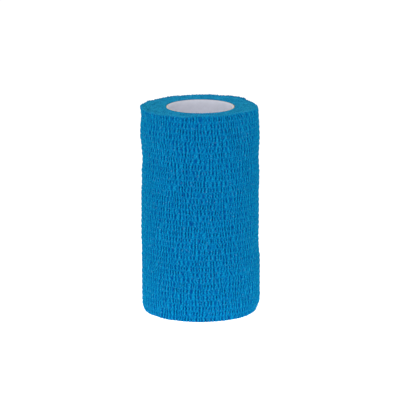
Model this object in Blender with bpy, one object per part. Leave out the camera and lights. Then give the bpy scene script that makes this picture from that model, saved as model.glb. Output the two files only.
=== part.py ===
"""A roll of cohesive bandage, standing on one end.

Units are metres and +Z is up. The origin is the middle of the lower end face, on the roll's axis,
and -Y is the front. The roll is a crinkled elastic web wound on a thin card tube. Its loose end is
pressed down at the back right, as a low step that runs the whole height.
"""

import math

import bmesh
import bpy

# Driving dimensions
WEB_WIDTH = 0.100
WEB_THICKNESS = 0.00068
CORE_OUTER_RADIUS = 0.0164
CORE_WALL = 0.00065
ROLL_RADIUS = 0.0283

# Small clearances and edges
FIT_GAP = 0.0003
CORE_SETBACK = 0.0003
CORE_EDGE_CHAMFER = 0.00015
TOP_EDGE_ROUNDING = 0.0006
BOTTOM_EDGE_ROUNDING = 0.0012

# The loose end, and how steep its cut edge is
TAIL_ANGLE = math.radians(41.0)
TAIL_EDGE_ARC = 0.0003

# How finely the solids are faceted
TURN_STEPS = 96
SIDE_ROWS = 25
EDGE_STEPS = 4

# The roll's radius on its left and right sides. It was wound by hand tension, so it isn't even.
OUTLINE_COLUMNS = ("height_mm", "left_mm", "right_mm")
OUTLINE_ROWS = (
    (0.0, 28.15, 28.60),
    (6.0, 28.20, 28.75),
    (14.0, 28.30, 28.73),
    (20.0, 28.25, 28.70),
    (26.0, 28.30, 28.60),
    (31.0, 28.25, 28.10),
    (36.0, 28.45, 28.00),
    (42.0, 28.50, 28.10),
    (50.0, 28.40, 28.10),
    (58.0, 28.45, 28.05),
    (63.0, 28.15, 28.30),
    (68.0, 28.20, 28.25),
    (75.0, 27.75, 27.90),
    (80.0, 28.20, 28.10),
    (86.0, 28.80, 28.37),
    (91.0, 28.70, 28.20),
    (95.0, 28.30, 27.95),
    (100.0, 28.60, 27.60),
)

WEB_BLUE = (0.004, 0.190, 0.450, 1.0)
WEB_ROUGHNESS = 0.85
CARD_WHITE = (0.80, 0.80, 0.84, 1.0)
CARD_ROUGHNESS = 0.60


def clear_scene():
    """Removes whatever the file holds."""
    for obj in list(bpy.data.objects):
        bpy.data.objects.remove(obj, do_unlink=True)


def principled(name, color, roughness):
    """A plain Principled BSDF material."""
    material = bpy.data.materials.new(name)
    material.use_nodes = True
    shader = material.node_tree.nodes["Principled BSDF"]
    shader.inputs["Base Color"].default_value = color
    shader.inputs["Roughness"].default_value = roughness
    shader.inputs["Metallic"].default_value = 0.0
    material.diffuse_color = color
    return material


def outline_radius(column, height):
    """The roll's radius at a height on one side, eased smoothly from one table row to the next."""
    side = OUTLINE_COLUMNS.index(column)
    height_mm = min(max(height * 1000.0, OUTLINE_ROWS[0][0]), OUTLINE_ROWS[-1][0])
    for lower, upper in zip(OUTLINE_ROWS, OUTLINE_ROWS[1:]):
        if height_mm <= upper[0]:
            break
    share = (height_mm - lower[0]) / (upper[0] - lower[0])
    eased = share * share * (3.0 - 2.0 * share)
    return (lower[side] + (upper[side] - lower[side]) * eased) / 1000.0


def angle_from_tail(angle):
    """How far round the outermost turn a point is: clockwise from above, 0 just past the loose end."""
    return (TAIL_ANGLE - angle) % math.tau


def spiral_offset(angle):
    """The outermost turn climbs by one web thickness on its way round to the loose end."""
    return WEB_THICKNESS * (angle_from_tail(angle) / math.tau - 0.5)


def surface_offset(angle, height):
    """How far the roll's surface stands from its mean radius, for the spiral and the uneven winding."""
    left = outline_radius("left_mm", height) - ROLL_RADIUS - spiral_offset(math.pi)
    right = outline_radius("right_mm", height) - ROLL_RADIUS - spiral_offset(0.0)
    rightness = 0.5 + 0.5 * math.cos(angle)
    return spiral_offset(angle) + left + (right - left) * rightness


def rounded_edge(corner_radius, corner_height, rounding, start_degrees):
    """Points along a quarter round, as (radius, height), turning anticlockwise in the section."""
    points = []
    for step in range(EDGE_STEPS + 1):
        turn = math.radians(start_degrees + 90.0 * step / EDGE_STEPS)
        points.append(
            (
                corner_radius + rounding * math.cos(turn),
                corner_height + rounding * math.sin(turn),
            )
        )
    return points


def roll_section():
    """The roll's cross-section at its mean radius: (radius, height) points, anticlockwise."""
    bore = CORE_OUTER_RADIUS + FIT_GAP
    lower = rounded_edge(
        ROLL_RADIUS - BOTTOM_EDGE_ROUNDING, BOTTOM_EDGE_ROUNDING, BOTTOM_EDGE_ROUNDING, -90.0
    )
    upper = rounded_edge(
        ROLL_RADIUS - TOP_EDGE_ROUNDING, WEB_WIDTH - TOP_EDGE_ROUNDING, TOP_EDGE_ROUNDING, 0.0
    )
    side_start, side_end = lower[-1][1], upper[0][1]
    side = [
        (ROLL_RADIUS, side_start + (side_end - side_start) * row / SIDE_ROWS)
        for row in range(1, SIDE_ROWS)
    ]
    return [(bore, 0.0)] + lower + side + upper + [(bore, WEB_WIDTH)]


def section_loop(bm, section, angle):
    """Draws a closed section in the upright plane at this angle, and returns its edges."""
    verts = [
        bm.verts.new((radius * math.cos(angle), radius * math.sin(angle), height))
        for radius, height in section
    ]
    return [bm.edges.new((a, b)) for a, b in zip(verts, verts[1:] + verts[:1])]


def finish_mesh(bm, name, material, sharp_degrees):
    """Turns the faces outwards, and makes the mesh a smooth-shaded object of this name."""
    bmesh.ops.recalc_face_normals(bm, faces=bm.faces)
    mesh = bpy.data.meshes.new(name)
    bm.to_mesh(mesh)
    bm.free()
    mesh.shade_smooth()
    mesh.set_sharp_from_angle(angle=math.radians(sharp_degrees))
    mesh.materials.append(material)
    obj = bpy.data.objects.new(name, mesh)
    bpy.context.scene.collection.objects.link(obj)
    return obj


def wind_out(bm):
    """Moves every point out or in to the wound surface, in proportion to its place in the section."""
    bore = CORE_OUTER_RADIUS + FIT_GAP
    for vert in bm.verts:
        angle = math.atan2(vert.co.y, vert.co.x)
        radius = math.hypot(vert.co.x, vert.co.y)
        share = (radius - bore) / (ROLL_RADIUS - bore)
        wound = radius + share * surface_offset(angle, vert.co.z)
        vert.co.x *= wound / radius
        vert.co.y *= wound / radius


def build_bandage():
    """The wound web: its section spun clockwise from the loose end, closed by the end's cut edge."""
    bm = bmesh.new()
    tail_edge_angle = TAIL_EDGE_ARC / ROLL_RADIUS
    first_loop = section_loop(bm, roll_section(), TAIL_ANGLE - tail_edge_angle)
    spun = bmesh.ops.spin(
        bm,
        geom=first_loop,
        cent=(0.0, 0.0, 0.0),
        axis=(0.0, 0.0, 1.0),
        angle=-(math.tau - 2.0 * tail_edge_angle),
        steps=TURN_STEPS,
        use_merge=False,
        use_duplicate=False,
    )
    last_loop = [part for part in spun["geom_last"] if isinstance(part, bmesh.types.BMEdge)]
    bmesh.ops.bridge_loops(bm, edges=first_loop + last_loop)
    wind_out(bm)
    return finish_mesh(bm, "bandage", principled("bandage_web", WEB_BLUE, WEB_ROUGHNESS), 40.0)


def core_section():
    """The card tube's wall, with the corners of its two cut ends just broken."""
    inner, outer = CORE_OUTER_RADIUS - CORE_WALL, CORE_OUTER_RADIUS
    low, high = CORE_SETBACK, WEB_WIDTH - CORE_SETBACK
    cut = CORE_EDGE_CHAMFER
    return [
        (inner + cut, low),
        (outer - cut, low),
        (outer, low + cut),
        (outer, high - cut),
        (outer - cut, high),
        (inner + cut, high),
        (inner, high - cut),
        (inner, low + cut),
    ]


def build_core():
    """The card tube that the web is wound on: its wall's section spun once round."""
    bm = bmesh.new()
    bmesh.ops.spin(
        bm,
        geom=section_loop(bm, core_section(), TAIL_ANGLE),
        cent=(0.0, 0.0, 0.0),
        axis=(0.0, 0.0, 1.0),
        angle=math.tau,
        steps=TURN_STEPS,
        use_merge=True,
        use_duplicate=False,
    )
    return finish_mesh(bm, "core", principled("core_card", CARD_WHITE, CARD_ROUGHNESS), 30.0)


clear_scene()
build_bandage()
build_core()
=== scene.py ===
"""The looks of a roll of cohesive bandage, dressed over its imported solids, in metres with +Z up.

The web is one long strip of crinkled nonwoven with elastic threads laid in it, wound by machine on a
card tube. The sections follow the roll as it is made: the tube, the wound turns as they show on the two
ends, the outermost turn with its loose end, and then the elastic threads and stray fibres on it.
"""

import math

import bpy
import numpy as np
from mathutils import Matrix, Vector


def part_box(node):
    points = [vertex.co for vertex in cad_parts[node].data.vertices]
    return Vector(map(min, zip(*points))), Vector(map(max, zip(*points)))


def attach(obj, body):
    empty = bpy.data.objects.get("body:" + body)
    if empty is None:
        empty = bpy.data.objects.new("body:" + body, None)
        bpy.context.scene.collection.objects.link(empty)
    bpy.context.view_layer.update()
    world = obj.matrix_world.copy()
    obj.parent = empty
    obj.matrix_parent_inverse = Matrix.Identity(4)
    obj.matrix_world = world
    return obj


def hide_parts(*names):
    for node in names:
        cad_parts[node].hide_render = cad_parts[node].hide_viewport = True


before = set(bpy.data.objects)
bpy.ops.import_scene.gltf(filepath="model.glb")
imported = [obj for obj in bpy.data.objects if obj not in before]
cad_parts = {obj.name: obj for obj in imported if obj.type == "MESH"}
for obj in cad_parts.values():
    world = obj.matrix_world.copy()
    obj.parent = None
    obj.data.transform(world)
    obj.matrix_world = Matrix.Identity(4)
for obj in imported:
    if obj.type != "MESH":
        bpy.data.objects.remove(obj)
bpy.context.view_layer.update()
MM = 0.001

# The card tube
# A thin tube of board that the web is wound on, made by winding strips of paper in a slanting spiral.
# The innermost strip is smooth and white, its butted seam climbs round the bore, and the saw leaves the
# two ends cream and a little furred.

core_low, core_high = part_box("core")
TUBE_OUTER = core_high.x
TUBE_LOW = core_low.z - 0.3 * MM
TUBE_HIGH = core_high.z + 0.3 * MM
TUBE_WALL = 0.65 * MM
TUBE_EDGE_ROUNDING = 0.14 * MM
TUBE_COLUMNS = 200
TUBE_ROWS = 48
TUBE_SEED = 5
SEAM_CLIMB = 58.0 * MM
SEAM_CROWDING = 0.93
SEAM_DEPTH = 0.10 * MM
SEAM_HALF_WIDTH = 0.30 * MM
SEAM_TINT = 0.35
FACING_THICKNESS = 0.13 * MM
SAWN_HEIGHT = 0.09 * MM
FUR_HEIGHT = 0.035 * MM
PLY_WAVES = 21000.0
FACING_WHITE = (0.78, 0.79, 0.88, 1.0)
FACING_GREY = (0.64, 0.65, 0.725, 1.0)
SEAM_GREY = (0.45, 0.45, 0.50, 1.0)
BOARD_CREAM = (0.68, 0.57, 0.45, 1.0)
BOARD_BROWN = (0.50, 0.40, 0.29, 1.0)


def surface_normals(points):
    """Unit normals of a grid surface: the cross product of its slopes along the columns and the rows."""
    along_rows = np.gradient(points, axis=0)
    along_columns = np.gradient(points, axis=1)
    normals = np.cross(along_columns, along_rows)
    return normals / np.maximum(np.linalg.norm(normals, axis=-1, keepdims=True), 1e-12)


def quad_piece(name, points, quads, material):
    """A smooth mesh of quads over a list of points, as an object at the origin."""
    mesh = bpy.data.meshes.new(name)
    mesh.vertices.add(len(points))
    mesh.vertices.foreach_set("co", points.astype(np.float32).ravel())
    mesh.loops.add(quads.size)
    mesh.loops.foreach_set("vertex_index", quads.ravel().astype(np.int32))
    mesh.polygons.add(len(quads))
    mesh.polygons.foreach_set("loop_start", np.arange(0, quads.size, 4, dtype=np.int32))
    mesh.update(calc_edges=True)
    mesh.shade_smooth()
    mesh.materials.append(material)
    piece = bpy.data.objects.new(name, mesh)
    bpy.context.scene.collection.objects.link(piece)
    return piece


def grid_piece(name, points, normals, uv, tints, material):
    """A piece on a grid of points, with its normals, a UV map in metres and point tints."""
    rows, columns = points.shape[:2]
    index = np.arange(rows * columns).reshape(rows, columns)
    corners = (index[:-1, :-1], index[:-1, 1:], index[1:, 1:], index[1:, :-1])
    quads = np.stack(corners, axis=-1).reshape(-1, 4)
    piece = quad_piece(name, points.reshape(-1, 3), quads, material)
    mesh = piece.data
    layer = mesh.uv_layers.new(name="web")
    layer.data.foreach_set("uv", uv.reshape(-1, 2)[quads.ravel()].astype(np.float32).ravel())
    for tint, values in tints.items():
        attribute = mesh.attributes.new(tint, "FLOAT", "POINT")
        attribute.data.foreach_set("value", values.astype(np.float32).ravel())
    mesh.normals_split_custom_set_from_vertices(normals.reshape(-1, 3).tolist())
    return piece


def new_material(name):
    """A material, with its node tree and its Principled BSDF."""
    material = bpy.data.materials.new(name)
    material.use_nodes = True
    return material, material.node_tree, material.node_tree.nodes["Principled BSDF"]


def add_node(tree, kind, sockets, **settings):
    """Adds a shader node with its settings, and fills its sockets with values or other nodes' outputs."""
    node = tree.nodes.new(kind)
    for setting, value in settings.items():
        setattr(node, setting, value)
    for socket, value in sockets.items():
        if isinstance(value, bpy.types.NodeSocket):
            tree.links.new(value, node.inputs[socket])
        else:
            node.inputs[socket].default_value = value
    return node


def mix_colors(tree, share, first, second):
    """The colour that lies this share of the way from the first colour to the second."""
    node = add_node(tree, "ShaderNodeMix", {0: share, 6: first, 7: second}, data_type="RGBA")
    return node.outputs[2]


def maths(tree, operation, *values):
    """One sum on numbers or sockets."""
    node = add_node(tree, "ShaderNodeMath", dict(enumerate(values)), operation=operation)
    return node.outputs[0]


def fade(distance, zone):
    """1 where the distance is nothing, falling evenly to 0 at the end of the zone."""
    return np.clip(1.0 - distance / zone, 0.0, 1.0)


def quarter_round(centre_radius, centre_height, rounding, start_degrees, steps):
    """Points of a section along a quarter circle, anticlockwise: (radius, height) by cosine and sine."""
    turn = np.radians(start_degrees + 90.0 * np.linspace(0.0, 1.0, steps))
    return np.stack(
        [centre_radius + rounding * np.cos(turn), centre_height + rounding * np.sin(turn)], axis=-1
    )


def tube_section():
    """The wall's section, anticlockwise from the bore's lower end: under, up the outside, over, down."""
    inner = TUBE_OUTER - TUBE_WALL
    rounding = TUBE_EDGE_ROUNDING
    low, high = TUBE_LOW + rounding, TUBE_HIGH - rounding
    middle = np.linspace(inner + rounding, TUBE_OUTER - rounding, 6)[1:-1]
    down = np.linspace(high, low, TUBE_ROWS)[1:]
    up = down[-2::-1]
    return np.concatenate(
        [
            quarter_round(inner + rounding, low, rounding, 180.0, 4),
            np.stack([middle, np.full_like(middle, TUBE_LOW)], axis=-1),
            quarter_round(TUBE_OUTER - rounding, low, rounding, 270.0, 4),
            np.stack([np.full_like(up, TUBE_OUTER), up], axis=-1),
            quarter_round(TUBE_OUTER - rounding, high, rounding, 0.0, 4),
            np.stack([middle[::-1], np.full_like(middle, TUBE_HIGH)], axis=-1),
            quarter_round(inner + rounding, high, rounding, 90.0, 4),
            np.stack([np.full_like(down, inner), down], axis=-1),
        ]
    )


def build_tube(material):
    """The section spun once round, its columns slanting along the seam by tau * height / climb.

    Columns crowd together at the seam, where the bore is cut back by a bell of the seam's half width. The
    sawn ends are furred by random heights.
    """
    section = tube_section()
    radius, height = section[:, :1], section[:, 1:]
    share = np.linspace(0.0, 1.0, TUBE_COLUMNS + 1)[None, :]
    from_seam = math.tau * share - SEAM_CROWDING * np.sin(math.tau * share)
    angle = from_seam + math.tau * height / SEAM_CLIMB
    distance = np.minimum(from_seam, math.tau - from_seam) * TUBE_OUTER
    seam = np.exp(-((distance / SEAM_HALF_WIDTH) ** 2))
    on_bore = np.clip((TUBE_OUTER - 0.5 * TUBE_WALL - radius) / (0.4 * TUBE_WALL), 0.0, 1.0)
    radius = radius + SEAM_DEPTH * seam * on_bore
    cut = fade(np.minimum(height - TUBE_LOW, TUBE_HIGH - height), SAWN_HEIGHT)
    facing = (radius - (TUBE_OUTER - TUBE_WALL)) / FACING_THICKNESS
    cut = cut * np.clip(facing, 0.0, 1.0)
    fur = np.random.default_rng(TUBE_SEED).normal(0.0, FUR_HEIGHT, cut.shape)
    fur[:, -1] = fur[:, 0]
    height = height - np.sign(height - 0.5 * TUBE_HIGH) * np.abs(fur) * cut
    points = np.stack([radius * np.cos(angle), radius * np.sin(angle), height + 0.0 * angle], axis=-1)
    uv = np.stack([angle * TUBE_OUTER, height + radius], axis=-1)
    tints = {"cut_edge": cut, "seam": seam * on_bore}
    return grid_piece("card_tube", points, surface_normals(points), uv, tints, material)


def card_material():
    """White faced board: mottled paper in the bore, and cream plies with darker lines on the cut ends."""
    material, tree, shader = new_material("core_card_looks")
    place = add_node(tree, "ShaderNodeTexCoord", {}).outputs["Object"]
    cut = add_node(tree, "ShaderNodeAttribute", {}, attribute_name="cut_edge").outputs["Fac"]
    seam = add_node(tree, "ShaderNodeAttribute", {}, attribute_name="seam").outputs["Fac"]
    cloud = add_node(tree, "ShaderNodeTexNoise", {"Vector": place, "Scale": 420.0, "Detail": 5.0})
    grain = add_node(tree, "ShaderNodeTexNoise", {"Vector": place, "Scale": 4200.0, "Detail": 3.0})
    paper = mix_colors(tree, cloud.outputs["Fac"], FACING_GREY, FACING_WHITE)
    paper = mix_colors(tree, maths(tree, "MULTIPLY", seam, SEAM_TINT), paper, SEAM_GREY)
    flat = add_node(tree, "ShaderNodeVectorMath", {0: place, 1: (1.0, 1.0, 0.0)}, operation="MULTIPLY")
    from_axis = add_node(tree, "ShaderNodeVectorMath", {0: flat.outputs[0]}, operation="LENGTH")
    plies = maths(tree, "SINE", maths(tree, "MULTIPLY", from_axis.outputs["Value"], PLY_WAVES))
    plies = maths(tree, "MULTIPLY_ADD", plies, 0.2, grain.outputs["Fac"])
    board = mix_colors(tree, plies, BOARD_BROWN, BOARD_CREAM)
    tree.links.new(mix_colors(tree, cut, paper, board), shader.inputs["Base Color"])
    bump = add_node(tree, "ShaderNodeBump", {"Height": grain.outputs["Fac"], "Strength": 0.25})
    bump.inputs["Distance"].default_value = 0.02 * MM
    tree.links.new(bump.outputs["Normal"], shader.inputs["Normal"])
    shader.inputs["Roughness"].default_value = 0.62
    shader.inputs["Specular IOR Level"].default_value = 0.25
    return material


tube = build_tube(card_material())
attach(tube, "root")
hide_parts("core")

# The wound turns
# Seventeen turns of web lie on the tube. The two ends of the roll are the cut edges of all those turns
# side by side: thin sinuous ribbons, nested into each other, and not quite level.

WEB_WIDTH = TUBE_HIGH - TUBE_LOW
WEB_THICKNESS = 0.68 * MM
ROLL_RADIUS = 28.3 * MM
TAIL_ANGLE = math.radians(41.0)
FIRST_TURN_RADIUS = TUBE_OUTER + 0.15 * MM
TURNS = 17
PUCKER = 1.55 * MM
RIBBON_SWAY = 0.17 * MM
RIBBON_LEVEL = 0.28 * MM
INNER_CROWN = 0.30 * MM
GROOVE_DEPTH = 0.50 * MM
NICK_DEPTH = 0.16 * MM
NICK_LENGTH = 0.7 * PUCKER
LEVEL_LENGTH = 14.0 * MM
CROWN_REACH = 4.0 * MM
END_SETBACK = 0.04 * MM
INNER_SOFTNESS = 0.08 * MM
GROOVE_SHADE = 0.90
NICK_SHADE = 0.27
TOP_SEED = 21
BOTTOM_SEED = 41
RIM_SEED = 83
LIFT_SEED = 943
LUMP_SEED = 1232
END_COLUMNS = 900
TOP_SAMPLES = 6
TOP_LAST_TURN = 16.3
BOTTOM_SAMPLES = 3
BOTTOM_LAST_TURN = 16.5
RIM_DEGREES = (
    0, 10, 22, 38, 39.5, 45, 60, 73, 90, 104, 119, 137,
    152, 170, 190, 217, 240, 252, 270, 300, 317, 338, 352, 360,
)
RIM_RISES = (
    -0.10, -0.18, 0.05, 0.12, 0.58, 0.66, 0.54, 0.22, 0.17, 0.05, 0.20, -0.05,
    0.05, 0.30, 0.10, 0.30, 0.65, 0.55, 1.05, 0.85, 1.15, 0.65, 0.10, -0.10,
)
RIM_UNEVENNESS = 0.05 * MM
RIM_REACH = 11.5 * MM
RIM_CURL = 0.90 * MM
LUMP_HEIGHT = 0.22 * MM
LUMP_SIZE = 7.0 * MM
LUMP_ZONE = 9.0 * MM
BOTTOM_LIFT = 0.03 * MM
TABLE_STEP = 0.15 * MM
END_TINT = 1.3 * MM
END_BLUE = (0.017, 0.256, 0.503, 1.0)
# Painted shade: the dark blue that the grooves on the two ends go over to.
END_PAINTED_SHADE_BLUE = (0.000, 0.080, 0.245, 1.0)
FACE_BLUE = (0.000, 0.223, 0.464, 1.0)
# Painted shade: the dark blue that the slits on the outermost turn go over to.
PAINTED_SHADE_BLUE = (0.000, 0.066, 0.282, 1.0)
FLECK_BLUE = (0.11, 0.36, 0.60, 1.0)
SHEEN_GREEN = (0.02, 0.90, 0.25, 1.0)
FIBRE_TONE = 0.9
SPECK_TONE = 3.7
FLECK_LEVEL = 0.70
FLECK_SHARE = 0.30

CRUSHED_HEIGHT = 5.0 * MM
CRUSHED_RIGHT = 2.3 * MM
CRUSHED_LEFT = 0.7 * MM
OUTLINE_HEIGHTS = (0, 6, 14, 20, 26, 31, 36, 42, 50, 58, 63, 68, 75, 80, 86, 91, 95, 100)
OUTLINE_LEFT = (
    28.15, 28.20, 28.30, 28.25, 28.30, 28.25, 28.45, 28.50, 28.40,
    28.45, 28.15, 28.20, 27.75, 28.20, 28.80, 28.70, 28.30, 28.60,
)
OUTLINE_RIGHT = (
    28.60, 28.75, 28.73, 28.70, 28.60, 28.10, 28.00, 28.10, 28.10,
    28.05, 28.30, 28.25, 27.90, 28.10, 28.37, 28.20, 27.95, 27.60,
)


def eased(places, values, place):
    """A table's value at a place, with a smooth step from each entry to the next: 3t^2 - 2t^3."""
    places, values = np.array(places, dtype=float), np.array(values)
    before = np.clip(np.searchsorted(places, place, side="right") - 1, 0, len(places) - 2)
    share = np.clip((place - places[before]) / (places[before + 1] - places[before]), 0.0, 1.0)
    share = share * share * (3.0 - 2.0 * share)
    return values[before] * (1.0 - share) + values[before + 1] * share


def mean_radius(angle, height):
    """The surface's radius just past the loose end, before the spiral's climb, blended left to right.

    The lower edge is crushed in on the two sides, more on the right: (1 - height / 5 mm)^2 * cosine^6.
    """
    left_turn = (TAIL_ANGLE - math.pi) % math.tau / math.tau
    right_turn = TAIL_ANGLE / math.tau
    left = eased(OUTLINE_HEIGHTS, OUTLINE_LEFT, height / MM) * MM - WEB_THICKNESS * left_turn
    right = eased(OUTLINE_HEIGHTS, OUTLINE_RIGHT, height / MM) * MM - WEB_THICKNESS * right_turn
    rightness = 0.5 + 0.5 * np.cos(angle)
    to_right = np.maximum(np.cos(angle), 0.0) ** 6
    to_left = np.maximum(-np.cos(angle), 0.0) ** 6
    low_down = fade(height, CRUSHED_HEIGHT) ** 2
    crushed = (CRUSHED_RIGHT * to_right + CRUSHED_LEFT * to_left) * low_down
    return left + (right - left) * rightness - crushed


def random_field(seed, shape, steps, kept, evening=0.0):
    """Random values over a grid, with a standard deviation of 1.

    White noise keeps only the Fourier terms that kept(up, along) lets through, of its two frequencies.
    The terms are one-sided, so the size of the sum is the waves' envelope, and dividing by a power of
    it evens out their swell.
    """
    up = np.fft.fftfreq(shape[0], steps[0])[:, None]
    along = np.fft.fftfreq(shape[1], steps[1])[None, :]
    noise = np.fft.fft2(np.random.default_rng(seed).normal(size=shape))
    field = np.fft.ifft2(noise * kept(up, along) * (along > 0.0))
    values = field.real / np.abs(field) ** evening
    return values / values.std()


def near(wavelength, spread):
    """Lets through waves along the rows near one wavelength: exp(-((frequency * length - 1) / spread)^2)."""
    return lambda up, along: np.exp(-(((along * wavelength - 1.0) / spread) ** 2)) + 0.0 * up


def slow(reach):
    """Lets through slow changes along the rows: exp(-(frequency * reach)^2)."""
    return lambda up, along: np.exp(-((along * reach) ** 2)) + 0.0 * up


def table_shape(rows, length):
    """The shape of a table of values at steps along a length of web."""
    return rows, int(round(length / TABLE_STEP))


def read_rows(table, step, row, place):
    """The table's values at places along its rows, by straight lines between the samples."""
    spot = place / step
    before = np.floor(spot).astype(int)
    share = spot - before
    count = table.shape[1]
    return table[row, before % count] * (1.0 - share) + table[row, (before + 1) % count] * share


def round_the_roll(seed, angle):
    """A slow random change round the roll that meets itself, read by the angle."""
    around = int(round(math.tau * ROLL_RADIUS / TABLE_STEP))
    table = random_field(seed, (1, around), (1.0, TABLE_STEP), slow(LUMP_SIZE))
    return read_rows(table, math.tau / around, 0, angle)


def base_radius(angle, height):
    """The mean radius with soft lumps near the two ends, where handling has pushed the web about."""
    near_end = fade(np.minimum(height, WEB_WIDTH - height), LUMP_ZONE) ** 2
    return mean_radius(angle, height) + LUMP_HEIGHT * near_end * round_the_roll(LUMP_SEED, angle)


def rim_rise(angle):
    """How far the upper end stands up, most at the front right, with a step down at the loose end."""
    rise = eased(RIM_DEGREES, RIM_RISES, np.degrees(angle) % 360.0) * MM
    return rise + RIM_UNEVENNESS * round_the_roll(RIM_SEED, angle)


def rim_curl(angle):
    """How far the outer turns' upper edge leans in over the ring, where it stands up by more than 0.5 mm."""
    return RIM_CURL * np.clip((rim_rise(angle) / MM - 0.5) / 0.6, 0.0, 1.0)


def bottom_lift(angle):
    """How far the lower end stays clear of the table, from nothing to about twice the mean."""
    return BOTTOM_LIFT * (1.0 + np.tanh(round_the_roll(LIFT_SEED, angle)))


def web_length_at(turn):
    """The length of web wound up to a turn: the spiral's arc, tau * (r * turn + pitch * turn^2 / 2)."""
    pitch = (ROLL_RADIUS - FIRST_TURN_RADIUS) / TURNS
    return math.tau * (FIRST_TURN_RADIUS * turn + 0.5 * pitch * turn**2)


def wound_end(seed, end_height, inward, samples_a_turn, last_turn):
    """The end of the roll as a grid, a row for each share of a turn and a column for each angle.

    Radius = first + pitch * (turn + round / tau) + sway. Sway and level are read along the whole web, so
    each ribbon runs on into the next, and between two ribbons they are blended. Height = the end's height,
    less the ribbon's level, its nicks, and a groove that grows as the cube of the distance from its middle.
    On the upper end the rim's rise is added. Painted shade darkens the grooves and nicks, and the
    outermost ribbons take the selvedge tint.
    """
    length = web_length_at(TURNS + 3.0)
    shape, steps = table_shape(1, length), (1.0, TABLE_STEP)
    sway_table = random_field(seed, shape, steps, near(PUCKER, 0.3), 0.3)
    level_table = random_field(seed + 1, shape, steps, slow(LEVEL_LENGTH))
    nick_table = random_field(seed + 2, shape, steps, near(NICK_LENGTH, 0.35))
    rows = int((last_turn + 1.0) * samples_a_turn) + 1
    turn = (-1.0 + np.arange(rows) / samples_a_turn)[:, None]
    column = np.arange(-1, END_COLUMNS + 2)[None, :]
    from_tail = math.tau * column / END_COLUMNS
    angle = TAIL_ANGLE - from_tail
    outer_radius = base_radius(angle, end_height) - (rim_curl(angle) if inward < 0.0 else 0.0)
    pitch = (outer_radius - FIRST_TURN_RADIUS) / TURNS

    between = turn - 0.5
    inner_ribbon = np.floor(between)
    share = between - inner_ribbon
    wound = inner_ribbon + 0.5 + from_tail / math.tau
    inner_place = web_length_at(np.maximum(wound, 0.0))
    outer_place = web_length_at(np.maximum(wound + 1.0, 0.0))

    def blend(table, steepness):
        """The inner ribbon's value going over to the outer one's, as steeply as asked."""
        over = np.clip((share - 0.5) * steepness + 0.5, 0.0, 1.0)
        return read_rows(table, TABLE_STEP, 0, inner_place) * (1.0 - over) + read_rows(
            table, TABLE_STEP, 0, outer_place
        ) * over

    past_tube = pitch * (turn + from_tail / math.tau)
    swayed = past_tube + RIBBON_SWAY * blend(sway_table, 1.0) * np.clip(past_tube / WEB_THICKNESS, 0.0, 1.0)
    radius = FIRST_TURN_RADIUS + 0.5 * (swayed + np.sqrt(swayed**2 + INNER_SOFTNESS**2))

    off_middle = np.abs(2.0 * (turn - np.floor(turn)) - 1.0)
    groove = off_middle**3
    level = 0.5 + 0.5 * np.tanh(0.8 * blend(level_table, 3.0))
    nick = np.clip(-blend(nick_table, 2.0) - 0.4, 0.0, 1.5)
    depth = RIBBON_LEVEL * level + GROOVE_DEPTH * groove + NICK_DEPTH * nick
    crown = INNER_CROWN * np.exp(-((past_tube / CROWN_REACH) ** 2))
    height = end_height + inward * (END_SETBACK + depth - crown)
    if inward > 0.0:
        height = np.maximum(height, end_height) + bottom_lift(angle)
    if inward < 0.0:
        height = height + rim_rise(angle) * np.clip(past_tube / RIM_REACH, 0.0, 1.0) ** 2
    # Painted shade in the grooves between the ribbons and in the nicks.
    hollow = np.clip(GROOVE_SHADE * groove + NICK_SHADE * nick, 0.0, 1.0)
    from_rim = outer_radius + WEB_THICKNESS * from_tail / math.tau - radius
    selvedge = np.clip(0.9 - from_rim / END_TINT + 0.25 * blend(nick_table, 1.0), 0.0, 0.9)

    points = np.stack([radius * np.cos(angle), radius * np.sin(angle), height], axis=-1)
    uv = np.stack([inner_place + 0.0 * radius, radius + 0.0 * angle], axis=-1)
    if inward > 0.0:
        points, uv, hollow, selvedge = (part[:, ::-1] for part in (points, uv, hollow, selvedge))
    normals = surface_normals(points)
    kept = (slice(None), slice(1, -1))
    return points[kept], normals[kept], uv[kept], {"hollow": hollow[kept], "selvedge": selvedge[kept]}


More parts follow.
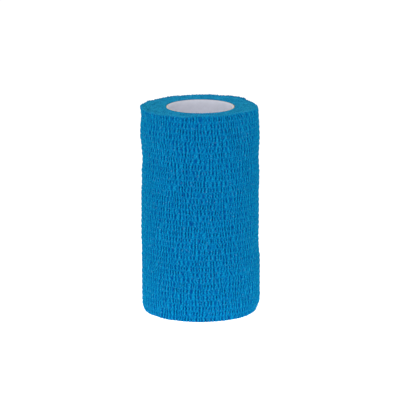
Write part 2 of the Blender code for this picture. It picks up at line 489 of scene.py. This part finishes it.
def web_material(name, face_color, painted_shade_color, edge_color, cloud_scale, cloud_share):
    """Crinkled nonwoven: short crossing fibres, with painted shade, deep blue, in the hollows.

    The fibres are noise stretched along the web and across it on the web's own UV map. Painted shade
    darkens the slits and grooves and leaves the ridges paler, the selvedge tint goes over to the colour of
    the web round the roll's edge, slow clouds vary the dye, and sparse pale flecks are threads and fibre
    ends.
    """
    material, tree, shader = new_material(name)
    place = add_node(tree, "ShaderNodeTexCoord", {}).outputs["Object"]
    web = add_node(tree, "ShaderNodeUVMap", {}, uv_map="web").outputs["UV"]
    hollow = add_node(tree, "ShaderNodeAttribute", {}, attribute_name="hollow").outputs["Fac"]

    def fibres(stretch, turn):
        """Noise drawn out into short fibres that lie at this angle to the web's length."""
        sockets = {"Vector": web, "Scale": (stretch[0], stretch[1], 1.0), "Rotation": (0.0, 0.0, turn)}
        laid = add_node(tree, "ShaderNodeMapping", sockets).outputs["Vector"]
        noise = add_node(tree, "ShaderNodeTexNoise", {"Vector": laid, "Scale": 1.0, "Detail": 2.0})
        return noise.outputs["Fac"]

    along = fibres((1500.0, 9000.0), 0.35)
    across = fibres((9000.0, 1500.0), -0.25)
    fibre = maths(tree, "MAXIMUM", along, across)
    cloud = add_node(tree, "ShaderNodeTexNoise", {"Vector": place, "Scale": cloud_scale, "Detail": 3.0})
    fleck = add_node(tree, "ShaderNodeTexNoise", {"Vector": place, "Scale": 1300.0, "Detail": 1.0})
    tone = maths(tree, "MULTIPLY_ADD", fibre, FIBRE_TONE, -0.5)
    tone = maths(tree, "MULTIPLY_ADD", cloud.outputs["Fac"], cloud_share, tone)
    speck = fibres((1200.0, 2300.0), 0.08)
    tone = maths(tree, "MULTIPLY_ADD", speck, SPECK_TONE, tone)
    pale = (face_color[0] + 0.003, 1.38 * face_color[1], 1.26 * face_color[2], 1.0)
    deep = (0.3 * face_color[0], 0.66 * face_color[1], 0.73 * face_color[2], 1.0)
    cloth = mix_colors(tree, maths(tree, "SUBTRACT", tone, 1.33 + 0.5 * cloud_share), deep, pale)
    # Painted shade: the slits and grooves are mixed towards a dark shade colour.
    cloth = mix_colors(tree, hollow, cloth, painted_shade_color)
    selvedge = add_node(tree, "ShaderNodeAttribute", {}, attribute_name="selvedge").outputs["Fac"]
    cloth = mix_colors(tree, selvedge, cloth, edge_color)
    spark = maths(tree, "GREATER_THAN", fleck.outputs["Fac"], FLECK_LEVEL)
    cloth = mix_colors(tree, maths(tree, "MULTIPLY", spark, FLECK_SHARE), cloth, FLECK_BLUE)
    tree.links.new(cloth, shader.inputs["Base Color"])
    bump = add_node(tree, "ShaderNodeBump", {"Height": fibre, "Strength": 0.5, "Distance": 0.05 * MM})
    tree.links.new(bump.outputs["Normal"], shader.inputs["Normal"])
    shader.inputs["Roughness"].default_value = 0.95
    shader.inputs["Specular IOR Level"].default_value = 0.015
    shader.inputs["Sheen Weight"].default_value = 0.19
    shader.inputs["Sheen Roughness"].default_value = 0.5
    shader.inputs["Sheen Tint"].default_value = SHEEN_GREEN
    return material


end_material = web_material("bandage_web_ends", END_BLUE, END_PAINTED_SHADE_BLUE, FACE_BLUE, 300.0, 1.8)
top_grid = wound_end(TOP_SEED, WEB_WIDTH, -1.0, TOP_SAMPLES, TOP_LAST_TURN)
bottom_grid = wound_end(BOTTOM_SEED, 0.0, 1.0, BOTTOM_SAMPLES, BOTTOM_LAST_TURN)
top_turns = grid_piece("wound_turns_top", *top_grid, end_material)
bottom_turns = grid_piece("wound_turns_bottom", *bottom_grid, end_material)
for piece in (top_turns, bottom_turns):
    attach(piece, "root")
    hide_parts("bandage")

# The outermost turn
# The same web seen flat on. Elastic threads run round it 2.8 mm apart, and as they drew back they
# gathered the nonwoven between them into small upright puckers, with a slit between each and the next.
# The rows of puckers don't line up, and the loose end is only pressed down onto the turn below.

THREAD_ROWS = 36
SIDE_ROWS = 240
UNDER_ROWS = 7
SIDE_COLUMNS = 1110
TAIL_COLUMNS = 6
SIDE_PIECES = ("outer_turn_right", "outer_turn_front_left", "outer_turn_back")
SLIT_DEPTH = 0.50 * MM
RIDGE_HEIGHT = 0.12 * MM
ROW_BULGE = 0.15 * MM
SLIT_LEAN = 0.25 * MM
ASKEW_ANGLE = math.radians(314.0)
ASKEW_REACH = math.radians(13.0)
ASKEW_SLOPE = 0.32
ASKEW_START = 0.84 * WEB_WIDTH
PUCKER_SEED = 61
PUCKER_TABLE = 0.2
PUCKER_SPREAD = 0.52
PUCKER_ALIKE = 0.9
PUCKER_EVENING = 0.85
PUCKER_CLOSING = 0.80
PUCKER_ROUNDNESS = 1.45
PUCKER_SHARE = 0.95
STRING_SPREAD = 0.35
STRING_ALIKE = 2.6
STRING_EVENING = 0.5
STRING_SHARE = 0.31
DIAMOND_SHARE = 0.27
DIAMOND_HEIGHT = 1.95 * MM
DIAMOND_WIDTH = 1.55 * MM
LEAN_LENGTH = 4.0 * MM
DEPTH_LENGTH = 2.5 * MM
DEPTH_CHANGE = 0.14
WANDER_LENGTH = 22.0 * MM
THREAD_WANDER = 0.10
DRIFT_HEIGHT = 16.0 * MM
DRIFT_LENGTH = 9.0 * MM
PUCKER_DRIFT = 0.12 * MM
STRING_DRIFT = 0.20 * MM
FULL_SLIT = 2.2
# Painted shade: how far the slits are darkened by the waves and at the threads, and the painted shadow along
# the cut.
PAINTED_SHADE_LEVEL = 0.53
PAINTED_SHADE_BY_WAVE = 0.41
PAINTED_SHADE_BY_THREAD = 0.20
PAINTED_SHADOW_BY_CUT = 0.40
OUTER_LIFT = 0.15 * MM
SELVEDGE = 1.1 * MM
SELVEDGE_TINT = 0.35 * MM
TOP_ROUNDING = 0.55 * MM
BOTTOM_ROUNDING = 0.45 * MM
EDGE_DIP = 0.07 * MM
EDGE_DIP_LENGTH = 1.6 * MM
EDGE_DIP_ZONE = 1.5 * MM
DIP_SEED = 73
RISE_ZONE = 0.15 * WEB_WIDTH
CURL_ZONE = 3.0 * MM
LIFT_ZONE = 4.0 * MM
CUT_SEED = 71
TUCK_UNDER_TAIL = 0.04
TAIL_RAGGEDNESS = 0.25 * MM
TAIL_ROUGHNESS = 0.9 * MM
TAIL_NOSE = 0.15 * MM
TAIL_PRESSED = 0.05
TAIL_SLANT = 1.2 * MM
TAIL_EDGE = 1.30 * MM
TAIL_LIFT = 0.45 * MM
TAIL_SHADE = 0.7 * MM
TAIL_REACH = 0.2


def outer_section():
    """The outermost turn's section, from under the lower edge, up the side, and over the upper edge.

    Gives the inset from the roll's radius, the height, and the way out of the surface, by rows.
    """
    under = quarter_round(-BOTTOM_ROUNDING, BOTTOM_ROUNDING, BOTTOM_ROUNDING, -90.0, UNDER_ROWS + 1)[:-1]
    over = quarter_round(-TOP_ROUNDING, WEB_WIDTH - TOP_ROUNDING, TOP_ROUNDING, 0.0, 6)[1:]
    height = np.linspace(BOTTOM_ROUNDING, WEB_WIDTH - TOP_ROUNDING, SIDE_ROWS)
    side = np.stack([np.zeros_like(height), height], axis=-1)
    inside = np.array([[-0.62 * MM, WEB_WIDTH - 0.10 * MM], [-0.66 * MM, WEB_WIDTH - 0.7 * MM]])
    section = np.concatenate([under, side, over, inside])
    slope = np.gradient(section, axis=0)
    out = np.stack([slope[:, 1], -slope[:, 0]], axis=-1)
    return section, out / np.linalg.norm(out, axis=-1, keepdims=True)


def puckers(place, height):
    """The relief's waves over the outermost turn, and how far each point lies from its row's middle.

    The waves are about 1 high and more than 1 deep. Each row between two threads has its own, leaning a
    little, under a window of 1 - closing * |2 * distance from the row's middle|^roundness, so that a slit
    is a lens that closes towards the threads. Longer ridges run on from row to row, and smaller crossed
    waves lie over both, which give the crepe its net of slanting lines.
    """
    row_pitch = WEB_WIDTH / THREAD_ROWS
    steps = (1.0, TABLE_STEP)
    shape = table_shape(THREAD_ROWS + 2, PUCKER_TABLE)
    grid_steps = (WEB_WIDTH / SIDE_ROWS, math.tau * ROLL_RADIUS / SIDE_COLUMNS)

    def row_waves(up, along):
        """Waves of a pucker's width, each row a little like the next."""
        return near(PUCKER, PUCKER_SPREAD)(up, along) * np.exp(-((up * PUCKER_ALIKE) ** 2))

    def long_ridges(up, along):
        """Waves of a pucker's width that hold on over two or three rows."""
        return near(PUCKER, STRING_SPREAD)(up, along) * np.exp(-((up * STRING_ALIKE) ** 2))

    def diamonds(up, along):
        """Crossed slanting waves, DIAMOND_HEIGHT by DIAMOND_WIDTH."""
        tall = (np.abs(up) * DIAMOND_HEIGHT - 1.0) / 0.25
        wide = (np.abs(along) * DIAMOND_WIDTH - 1.0) / 0.35
        return np.exp(-(tall**2) - wide**2)

    def meander(up, along):
        """A slow sideways drift."""
        return np.exp(-((up * DRIFT_HEIGHT) ** 2) - (along * DRIFT_LENGTH) ** 2)

    waves = random_field(PUCKER_SEED, shape, steps, row_waves, PUCKER_EVENING)
    lean = random_field(PUCKER_SEED + 1, shape, steps, slow(LEAN_LENGTH))
    depth = random_field(PUCKER_SEED + 2, shape, steps, slow(DEPTH_LENGTH))
    wander = random_field(PUCKER_SEED + 3, table_shape(1, PUCKER_TABLE), steps, slow(WANDER_LENGTH))
    strings = random_field(PUCKER_SEED + 4, shape, steps, long_ridges, STRING_EVENING)
    drift = random_field(PUCKER_SEED + 5, place.shape, grid_steps, meander)
    crossed = random_field(PUCKER_SEED + 6, place.shape, grid_steps, diamonds)

    across = height / row_pitch + THREAD_WANDER * read_rows(wander, TABLE_STEP, 0, place)
    across = np.clip(across, 0.0, THREAD_ROWS + 0.999)
    row = np.floor(across).astype(int)
    off_middle = across - row - 0.5
    window = 1.0 - PUCKER_CLOSING * np.abs(2.0 * off_middle) ** PUCKER_ROUNDNESS
    window = np.where(across > THREAD_ROWS - 0.5, np.maximum(window, 0.7), window)
    leaning = place + SLIT_LEAN * off_middle * read_rows(lean, TABLE_STEP, row, place)
    wave = read_rows(waves, TABLE_STEP, row, leaning + PUCKER_DRIFT * drift)
    wave = wave * window * (1.0 + DEPTH_CHANGE * read_rows(depth, TABLE_STEP, row, place))
    swayed = place + STRING_DRIFT * drift
    lower = read_rows(strings, TABLE_STEP, row, swayed)
    upper = read_rows(strings, TABLE_STEP, row + 1, swayed)
    string = lower * (0.5 - off_middle) + upper * (0.5 + off_middle)
    relief = PUCKER_SHARE * wave + STRING_SHARE * string + DIAMOND_SHARE * crossed
    return relief, np.abs(2.0 * off_middle)


def outer_turn():
    """The outermost turn as a grid: rows of its section, and columns clockwise from under the loose end.

    Radius = base radius + web thickness * round / tau + inset, moved out of the surface by the ridges and
    rows, and into it by the slits. The loose end lifts a little towards its cut, and past the cut the last
    columns go down to the turn below. The upper edge rises and leans in with the ring, and the lower edge
    stays clear of the table in places. Painted shade darkens the slits with the waves, and a painted shadow
    runs along the cut.
    """
    section, out = outer_section()
    inset, height = section[:, :1], section[:, 1:]
    column = np.arange(-1, SIDE_COLUMNS + 2)[None, :]
    span = math.tau + TUCK_UNDER_TAIL
    last = SIDE_COLUMNS - TAIL_COLUMNS
    past_cut = np.clip((column - last) / TAIL_COLUMNS, 0.0, 1.0) * 0.5 * math.pi
    round_share = -TUCK_UNDER_TAIL + span * np.minimum(column, last) / last
    steps = (1.0, TABLE_STEP)
    cut = random_field(CUT_SEED, table_shape(1, 0.12), steps, slow(TAIL_ROUGHNESS))
    slant = TAIL_SLANT * (height / WEB_WIDTH) ** 2
    raggedness = (TAIL_RAGGEDNESS * (1.5 + read_rows(cut, TABLE_STEP, 0, height)) - slant) / ROLL_RADIUS
    near_end = fade(math.tau - round_share, TAIL_REACH)
    from_tail = round_share - raggedness * near_end**2 + TAIL_NOSE * np.sin(past_cut) / ROLL_RADIUS
    at_tail = np.exp(-((round_share / TAIL_PRESSED) ** 2))
    at_tail = at_tail + np.exp(-(((round_share - math.tau) / TAIL_PRESSED) ** 2))
    angle = TAIL_ANGLE - from_tail
    place = from_tail * ROLL_RADIUS + 10.0 * MM
    askew = np.exp(-(((angle % math.tau - ASKEW_ANGLE) / ASKEW_REACH) ** 2))
    pulled = ASKEW_SLOPE * askew * np.clip(height - ASKEW_START, 0.0, None)
    waves, off_middle = puckers(place - pulled, np.clip(height, 0.0, WEB_WIDTH))
    at_edge = np.clip((WEB_WIDTH - height) / SELVEDGE, 0.0, 1.0) * np.clip(height / SELVEDGE + 0.4, 0.0, 1.0)
    waves = waves * (0.80 + 0.20 * at_edge) * (1.0 - 0.35 * at_tail)
    slit = np.clip(-waves / FULL_SLIT, 0.0, 1.0)
    relief = RIDGE_HEIGHT * waves - SLIT_DEPTH * slit - ROW_BULGE * off_middle**2 + OUTER_LIFT
    in_shade = np.exp(-(((round_share * ROLL_RADIUS - slant) / TAIL_SHADE) ** 2)) + (past_cut > 0.0)
    # Painted shade: darker in the slits, lighter on the ridges and at the threads, and a painted shadow
    # along the cut.
    hollow = PAINTED_SHADE_LEVEL - PAINTED_SHADE_BY_WAVE * waves - PAINTED_SHADE_BY_THREAD * off_middle**5
    hollow = np.clip(hollow + PAINTED_SHADOW_BY_CUT * in_shade, 0.0, 1.0)
    from_edge = np.minimum(WEB_WIDTH - height, 3.0 * height)
    selvedge = np.clip(1.0 - from_edge / SELVEDGE_TINT - 0.70 * waves, 0.0, 0.85)
    radius = base_radius(angle, height) + WEB_THICKNESS * from_tail / math.tau + inset
    radius = radius + relief * out[:, :1] + TAIL_LIFT * near_end**3 - TAIL_EDGE * (1.0 - np.cos(past_cut))
    edge_level = random_field(DIP_SEED, table_shape(1, 0.25), steps, slow(EDGE_DIP_LENGTH))
    dip = EDGE_DIP * (1.0 + np.tanh(read_rows(edge_level, TABLE_STEP, 0, place)))
    near_top = fade(WEB_WIDTH - height, EDGE_DIP_ZONE)
    rise = rim_rise(angle) * fade(WEB_WIDTH - height, RISE_ZONE) ** 2
    radius = radius - rim_curl(angle) * fade(WEB_WIDTH - height, CURL_ZONE) ** 2
    lift = bottom_lift(angle) * fade(height, LIFT_ZONE)
    height = np.maximum(height + relief * out[:, 1:] - dip * near_top + rise + lift, 0.0)
    points = np.stack([radius * np.cos(angle), radius * np.sin(angle), height], axis=-1)
    uv = np.stack([place, height], axis=-1)
    return points, uv, hollow, selvedge


points, uv, hollow, selvedge = outer_turn()
normals = -surface_normals(points)
points, normals, uv, hollow, selvedge = (
    part[:, 1:-1] for part in (points, normals, uv, hollow, selvedge)
)
face_material = web_material("bandage_web_face", FACE_BLUE, PAINTED_SHADE_BLUE, END_BLUE, 90.0, 0.3)
block = SIDE_COLUMNS // len(SIDE_PIECES)
for number, name in enumerate(SIDE_PIECES):
    held = (slice(None), slice(number * block, (number + 1) * block + 1))
    flipped = (slice(None), slice(None, None, -1))
    parts = [part[held][flipped] for part in (points, normals, uv, hollow, selvedge)]
    piece = grid_piece(name, *parts[:3], {"hollow": parts[3], "selvedge": parts[4]}, face_material)
    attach(piece, "root")
    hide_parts("bandage")

# The elastic threads and stray fibres
# The threads are pale and show as short glints where the nonwoven has parted over them, and as
# cut ends along the loose end. Fine dyed fibres have worked loose all over and stand off the web.

THREAD_SEED = 91
GLINTS = 90
STRAND_STEPS = 7
GLINT_HALF_COLUMNS = (1.5, 8.0)
GLINT_STAND = 0.05 * MM
GLINT_BOW = 0.10 * MM
THREAD_END_MM = (0.8, 2.6)
THREAD_END_DEPTH = 0.12 * MM
GLINT_HALF_THICKNESS = 0.05 * MM
FIBRE_SEED = 92
FIBRES = 1800
FIBRE_MM = (0.5, 1.7)
FIBRE_RISE = (0.15, 0.75)
FIBRE_DROP = (0.0, 0.6)
FIBRE_BEND = 0.35
FIBRE_HALF_THICKNESS = 0.028 * MM
FIBRE_POINTS = 6
THREAD_PALE = (0.13, 0.42, 0.66, 1.0)
THREAD_DYED = (0.03, 0.28, 0.52, 1.0)
FIBRE_PALE = (0.07, 0.40, 0.64, 1.0)
FIBRE_DYED = (0.00, 0.20, 0.46, 1.0)


def read_grid(grid, row, column):
    """A grid's values at whole rows and part columns, by straight lines between the columns."""
    column = np.clip(column, 0.0, grid.shape[1] - 1.001)
    before = np.floor(column).astype(int)
    share = (column - before)[..., None]
    return grid[row, before] * (1.0 - share) + grid[row, before + 1] * share


def strand_piece(name, paths, thickness, sides, material):
    """Thin round strands as one mesh: each path's points ringed by cosine and sine, and drawn to a tip."""
    count, steps = paths.shape[:2]
    along = np.gradient(paths, axis=1)
    along = along / np.maximum(np.linalg.norm(along, axis=-1, keepdims=True), 1e-9)
    level = np.cross(along, np.array([0.30, 0.20, 0.93]))
    level = level / np.maximum(np.linalg.norm(level, axis=-1, keepdims=True), 1e-9)
    upright = np.cross(level, along)
    turn = (math.tau * np.arange(sides) / sides)[None, None, :, None]
    taper = np.clip(3.0 * np.minimum(np.arange(steps), steps - 1.0 - np.arange(steps)) / steps, 0.25, 1.0)
    reach = (thickness * taper)[None, :, None, None]
    rings = paths[:, :, None, :] + reach * (
        np.cos(turn) * level[:, :, None, :] + np.sin(turn) * upright[:, :, None, :]
    )
    index = np.arange(count * steps * sides).reshape(count, steps, sides)
    beside = np.roll(index, -1, axis=2)
    quads = np.stack([index[:, :-1], beside[:, :-1], beside[:, 1:], index[:, 1:]], axis=-1).reshape(-1, 4)
    return quad_piece(name, rings.reshape(-1, 3), quads, material)


def strand_material(name, dyed, pale):
    """A strand's dye, from dyed to pale by a noise of a few millimetres, with a little gloss."""
    material, tree, shader = new_material(name)
    place = add_node(tree, "ShaderNodeTexCoord", {}).outputs["Object"]
    patch = add_node(tree, "ShaderNodeTexNoise", {"Vector": place, "Scale": 600.0, "Detail": 1.0})
    share = maths(tree, "MULTIPLY_ADD", patch.outputs["Fac"], 2.0, -0.5)
    tree.links.new(mix_colors(tree, share, dyed, pale), shader.inputs["Base Color"])
    shader.inputs["Roughness"].default_value = 0.55
    shader.inputs["Specular IOR Level"].default_value = 0.30
    return material


def side_row(height):
    """The number of the outermost turn's row at a height up its side."""
    side_height = WEB_WIDTH - TOP_ROUNDING - BOTTOM_ROUNDING
    return np.round(UNDER_ROWS + (height - BOTTOM_ROUNDING) / side_height * (SIDE_ROWS - 1)).astype(int)


def thread_paths():
    """Glints that follow the web at a thread's height, and thread ends that run on past the cut edge."""
    draw = np.random.default_rng(THREAD_SEED)
    thread = draw.integers(1, THREAD_ROWS, GLINTS)
    half_length = draw.uniform(*GLINT_HALF_COLUMNS, GLINTS)
    middle = draw.uniform(20.0, SIDE_COLUMNS - 30.0, GLINTS)
    step = np.linspace(-1.0, 1.0, STRAND_STEPS)
    row = side_row(thread * WEB_WIDTH / THREAD_ROWS)[:, None] + np.zeros((1, STRAND_STEPS), dtype=int)
    glints = read_grid(points, row, middle[:, None] + half_length[:, None] * step)
    across = np.hypot(glints[..., 0], glints[..., 1])
    level = across.mean(axis=1, keepdims=True) + GLINT_STAND - GLINT_BOW * step**2
    glints[..., :2] *= (level / across)[..., None]

    row = side_row(np.arange(1, THREAD_ROWS) * WEB_WIDTH / THREAD_ROWS)
    root = read_grid(points, row, np.full(row.shape, SIDE_COLUMNS - TAIL_COLUMNS - 4.0))
    end_length = draw.uniform(*THREAD_END_MM, row.shape)[:, None]
    past = np.linspace(0.0, 1.0, STRAND_STEPS)[None, :] * end_length * MM
    angle = np.arctan2(root[:, 1], root[:, 0])[:, None] - past / ROLL_RADIUS
    radius = np.hypot(root[:, 0], root[:, 1])[:, None] - THREAD_END_DEPTH - 0.10 * past
    height = root[:, 2:] + draw.normal(0.0, 0.12, row.shape)[:, None] * past
    ends = np.stack([radius * np.cos(angle), radius * np.sin(angle), height], axis=-1)
    return np.concatenate([glints, ends])


def fibre_paths():
    """Short fibres that leave the web at a slant and bend.

    Place = root + length * (u * along + (rise * u - drop * u^2) * out + bend * u^2 * sideways).
    """
    draw = np.random.default_rng(FIBRE_SEED)
    row = draw.integers(2, points.shape[0] - 3, FIBRES)
    column = draw.integers(8, SIDE_COLUMNS - TAIL_COLUMNS - 2, FIBRES)
    root = points[row, column]
    away = normals[row, column] * np.sign((normals[row, column, :2] * root[:, :2]).sum(-1))[:, None]
    along = np.cross(away, draw.normal(size=(FIBRES, 3)))
    along = along / np.linalg.norm(along, axis=-1, keepdims=True)
    sideways = np.cross(away, along)
    u = np.linspace(0.0, 1.0, FIBRE_POINTS)[None, :, None]
    rise = draw.uniform(*FIBRE_RISE, (FIBRES, 1, 1))
    drop = draw.uniform(*FIBRE_DROP, (FIBRES, 1, 1))
    bend = draw.normal(0.0, FIBRE_BEND, (FIBRES, 1, 1))
    length = draw.uniform(*FIBRE_MM, (FIBRES, 1, 1)) * MM
    lift = (rise * u - drop * u**2) * away[:, None]
    paths = root[:, None] + length * (u * along[:, None] + lift + bend * u**2 * sideways[:, None])
    paths[..., 2] = np.maximum(paths[..., 2], FIBRE_HALF_THICKNESS)
    return paths


thread_finish = strand_material("elastic_thread", THREAD_DYED, THREAD_PALE)
fibre_finish = strand_material("stray_fibre", FIBRE_DYED, FIBRE_PALE)
threads = strand_piece("elastic_threads", thread_paths(), GLINT_HALF_THICKNESS, 4, thread_finish)
fibres = strand_piece("stray_fibres", fibre_paths(), FIBRE_HALF_THICKNESS, 3, fibre_finish)
for piece in (threads, fibres):
    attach(piece, "root")
    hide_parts("bandage")

# The studio
# A white floor that glows with a painted pool of light round the roll, soft light from all round, a little
# stronger from the front left, and a long lens that looks down on the roll.

FLOOR_HALF_SIZE = 4.0
# The floor's emission: a painted pool of light round the roll over a weaker even glow.
GLOW = 1.0
GLOW_REACH = 0.075
FAR_GLOW = 0.20
COVERED_RADIUS = 0.97 * ROLL_RADIUS
KEY_PLACE = Vector((-0.5, -1.9, 1.7))
KEY_SIZE = 1.6
KEY_POWER = 14.0
SKY_STRENGTH = 0.87
CAMERA_PLACE = Vector((0.0, -1.566, 0.425))
CAMERA_AIM = Vector((0.00366, 0.0, 0.04966))
LENS = 287.4
SENSOR_WIDTH = 36.0


def build_floor():
    """A flat white floor level with the roll's lower end. Its emission is a painted pool of light round the
    roll over a weaker even glow, with none where the roll stands on it.

    Strength = glow / (1 + (distance / reach)^2) + far glow.
    """
    side = np.linspace(-FLOOR_HALF_SIZE, FLOOR_HALF_SIZE, 9)
    east, north = np.meshgrid(side, side)
    points = np.stack([east, north, np.zeros_like(east)], axis=-1)
    material, tree, shader = new_material("studio_floor")
    shader.inputs["Base Color"].default_value = (0.93, 0.93, 0.93, 1.0)
    shader.inputs["Emission Color"].default_value = (1.0, 1.0, 1.0, 1.0)
    place = add_node(tree, "ShaderNodeTexCoord", {}).outputs["Object"]
    from_roll = add_node(tree, "ShaderNodeVectorMath", {0: place}, operation="LENGTH").outputs["Value"]
    # Painted pool of light: emission strongest round the roll and falling off with distance.
    falloff = maths(tree, "POWER", maths(tree, "MULTIPLY", from_roll, 1.0 / GLOW_REACH), 2.0)
    painted_light_pool = maths(tree, "DIVIDE", GLOW, maths(tree, "ADD", falloff, 1.0))
    uncovered = maths(tree, "GREATER_THAN", from_roll, COVERED_RADIUS)
    lit = maths(tree, "MULTIPLY", maths(tree, "ADD", painted_light_pool, FAR_GLOW), uncovered)
    tree.links.new(lit, shader.inputs["Emission Strength"])
    shader.inputs["Roughness"].default_value = 1.0
    shader.inputs["Specular IOR Level"].default_value = 0.0
    return grid_piece("floor", points, surface_normals(points), points[..., :2], {}, material)


def add_area_light(name, place, size, power):
    """A square soft box that looks at the middle of the roll."""
    light = bpy.data.lights.new(name, "AREA")
    light.size = size
    light.energy = power
    lamp = bpy.data.objects.new(name, light)
    lamp.location = place
    lamp.rotation_euler = (CAMERA_AIM - place).to_track_quat("-Z", "Y").to_euler()
    bpy.context.scene.collection.objects.link(lamp)


build_floor()
add_area_light("key_light", KEY_PLACE, KEY_SIZE, KEY_POWER)
world = bpy.data.worlds.new("studio")
world.use_nodes = True
background = world.node_tree.nodes["Background"]
background.inputs["Color"].default_value = (1.0, 1.0, 1.0, 1.0)
background.inputs["Strength"].default_value = SKY_STRENGTH
bpy.context.scene.world = world
bpy.context.scene.view_settings.view_transform = "Standard"

camera_data = bpy.data.cameras.new("camera")
camera_data.lens = LENS
camera_data.sensor_width = SENSOR_WIDTH
camera = bpy.data.objects.new("camera", camera_data)
camera.location = CAMERA_PLACE
camera.rotation_euler = (CAMERA_AIM - CAMERA_PLACE).to_track_quat("-Z", "Y").to_euler()
bpy.context.scene.collection.objects.link(camera)
bpy.context.scene.camera = camera
